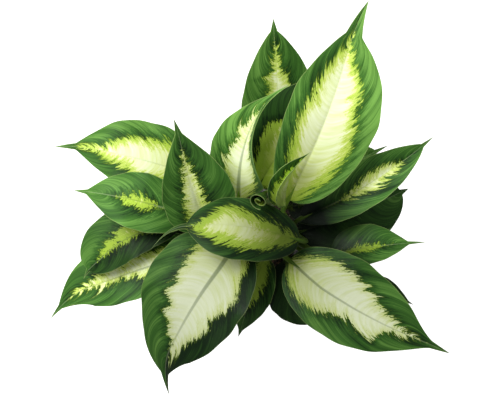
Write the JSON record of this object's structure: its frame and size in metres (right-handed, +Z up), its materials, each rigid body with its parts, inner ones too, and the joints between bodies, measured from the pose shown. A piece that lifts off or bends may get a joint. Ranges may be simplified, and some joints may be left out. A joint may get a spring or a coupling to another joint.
{
  "type": "potted dieffenbachia",
  "caption": "Broad-leaved house plant with cream and green blades on upright canes, standing in the soil of a plain tapered pot.",
  "frame": {"origin": "centre of the pot's flat base, on the surface that the pot stands on", "axes": "+Z up along the pot's axis; the picture looks down from in front with its picture's right along +X and its picture's top along +Y"},
  "size_m": [0.4694, 0.3817, 0.4215],
  "materials": {
    "pot": "matte, fired, charcoal",
    "soil": "rough, moist, dark brown",
    "cane": "satin green skin with pale rings",
    "leaf": "satin, cream centre, green margin",
    "spear": "satin light green"
  },
  "bodies": {
    "root": {"pot": "pot", "soil": "soil", "cane_a": "cane", "cane_b": "cane", "cane_c": "cane", "leaf_a1": "leaf", "leaf_a2": "leaf", "leaf_a3": "leaf", "leaf_a4": "leaf", "leaf_a5": "leaf", "leaf_a6": "leaf", "leaf_a7": "leaf", "leaf_b1": "leaf", "leaf_b2": "leaf", "leaf_b3": "leaf", "leaf_b4": "leaf", "leaf_b5": "leaf", "leaf_c1": "leaf", "leaf_c2": "leaf", "leaf_c3": "leaf", "leaf_c4": "leaf", "leaf_c5": "leaf", "leaf_c6": "leaf", "leaf_c7": "leaf", "leaf_c8": "leaf", "leaf_c9": "leaf", "leaf_c10": "leaf", "spear_b": "spear"}
  },
  "joints": []
}
